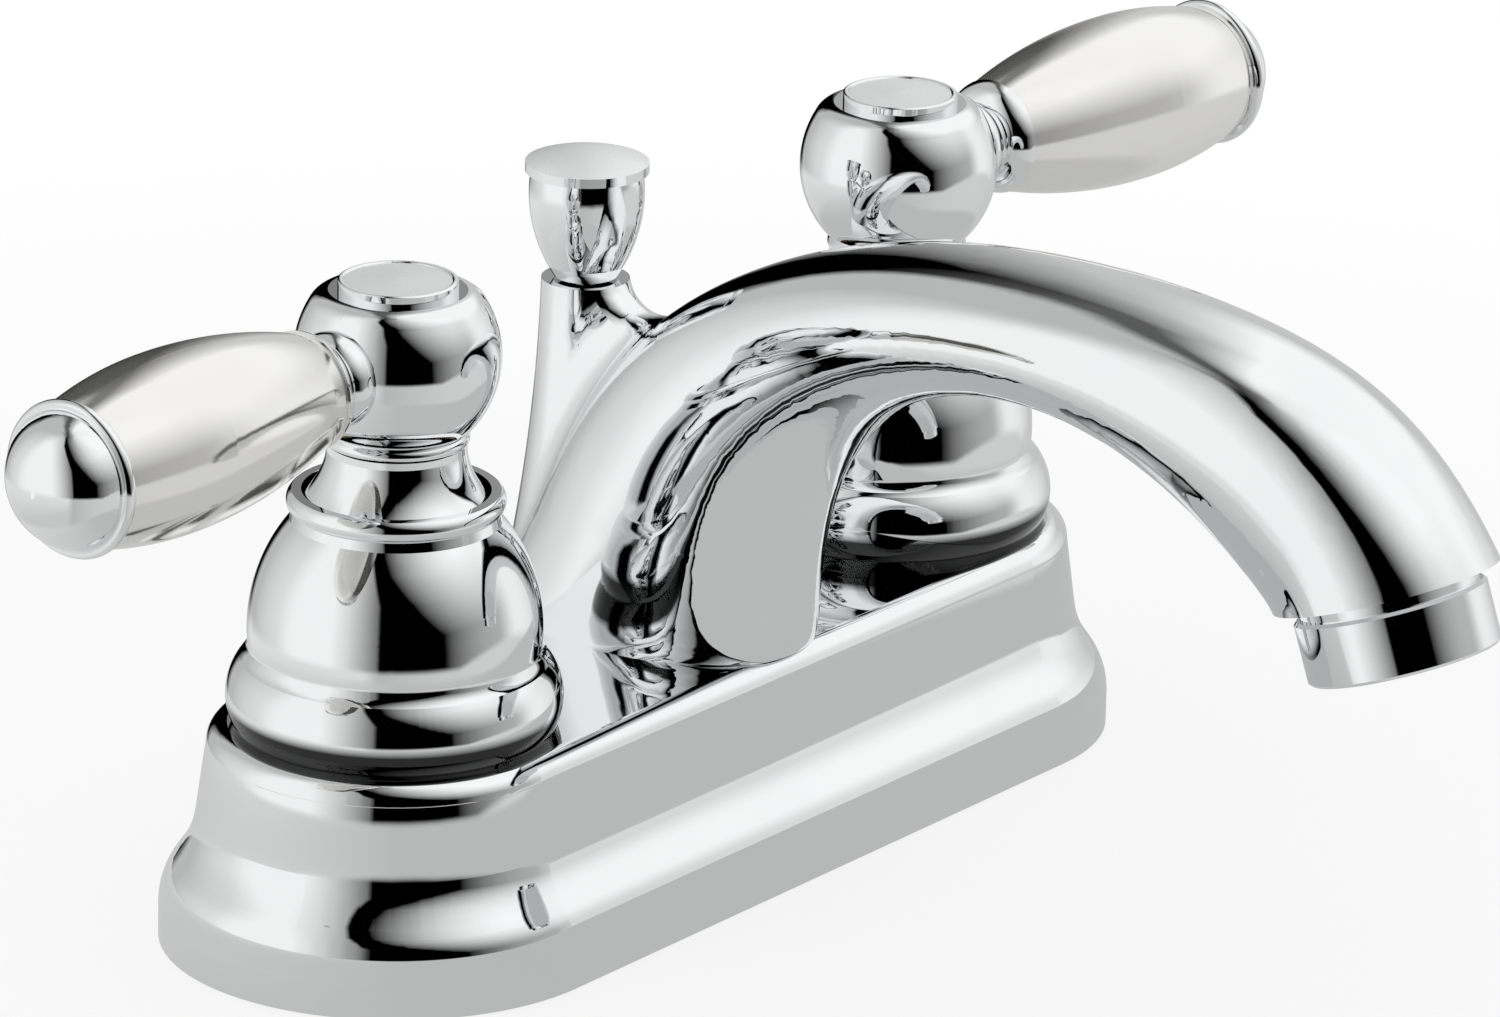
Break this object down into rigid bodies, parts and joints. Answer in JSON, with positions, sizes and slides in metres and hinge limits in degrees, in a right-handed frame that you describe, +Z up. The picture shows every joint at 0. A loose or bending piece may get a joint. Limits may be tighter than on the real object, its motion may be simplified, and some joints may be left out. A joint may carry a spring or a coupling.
{
  "type": "two-handle bathroom faucet",
  "caption": "Centerset basin faucet with an arched spout on a two-tier base, lever handles on bell-shaped valve covers, an aerator and a drain lift rod.",
  "frame": {"origin": "centre of the base, on the plane where it rests on the sink deck", "axes": "+X to the right handle, -Y towards the user and along the spout, +Z up"},
  "size_m": [0.2361, 0.1541, 0.2258],
  "materials": {
    "chrome": "polished plating",
    "lever_chrome": "polished plating, slightly warmer",
    "brass": "as machined",
    "steel": "plain",
    "rubber": "matt",
    "disc_ceramic": "lapped",
    "nut_plastic": "moulded",
    "nozzle_plastic": "moulded"
  },
  "bodies": {
    "faucet_body": {"deck_plate": "chrome", "base_gasket": "rubber", "waterway": "brass", "spout": "chrome", "spout_o_rings": "rubber", "spout_nut": "brass", "seat_seal_left": "rubber", "fixed_disc_left": "disc_ceramic", "cartridge_left": "brass", "bonnet_nut_left": "brass", "bell_left": "chrome", "shank_washer_left": "steel", "mounting_nut_left": "nut_plastic", "seat_seal_right": "rubber", "fixed_disc_right": "disc_ceramic", "cartridge_right": "brass", "bonnet_nut_right": "brass", "bell_right": "chrome", "shank_washer_right": "steel", "mounting_nut_right": "nut_plastic", "aerator_housing": "chrome", "aerator_insert": "nozzle_plastic", "aerator_washer": "rubber"},
    "left_handle": {"handle_hub_left": "chrome", "lever_barrel_left": "lever_chrome", "lever_end_cap_left": "chrome", "handle_screw_left": "steel", "index_button_left": "chrome", "stem_left": "brass", "moving_disc_left": "disc_ceramic", "stem_o_ring_left": "rubber"},
    "right_handle": {"handle_hub_right": "chrome", "lever_barrel_right": "lever_chrome", "lever_end_cap_right": "chrome", "handle_screw_right": "steel", "index_button_right": "chrome", "stem_right": "brass", "moving_disc_right": "disc_ceramic", "stem_o_ring_right": "rubber"},
    "drain_lift": {"lift_rod": "chrome", "lift_knob": "chrome"}
  },
  "joints": [
    {"name": "left_handle_turn", "type": "hinge", "parent": "faucet_body", "child": "left_handle", "pos_m": [-0.0508, 0, 0], "axis": [0, 0, 1], "range_deg": [0, 90]},
    {"name": "right_handle_turn", "type": "hinge", "parent": "faucet_body", "child": "right_handle", "pos_m": [0.0508, 0, 0], "axis": [0, 0, -1], "range_deg": [0, 90]},
    {"name": "lift_rod_pull", "type": "slide", "parent": "faucet_body", "child": "drain_lift", "axis": [0, 0, 1], "range_m": [0, 0.028]}
  ]
}
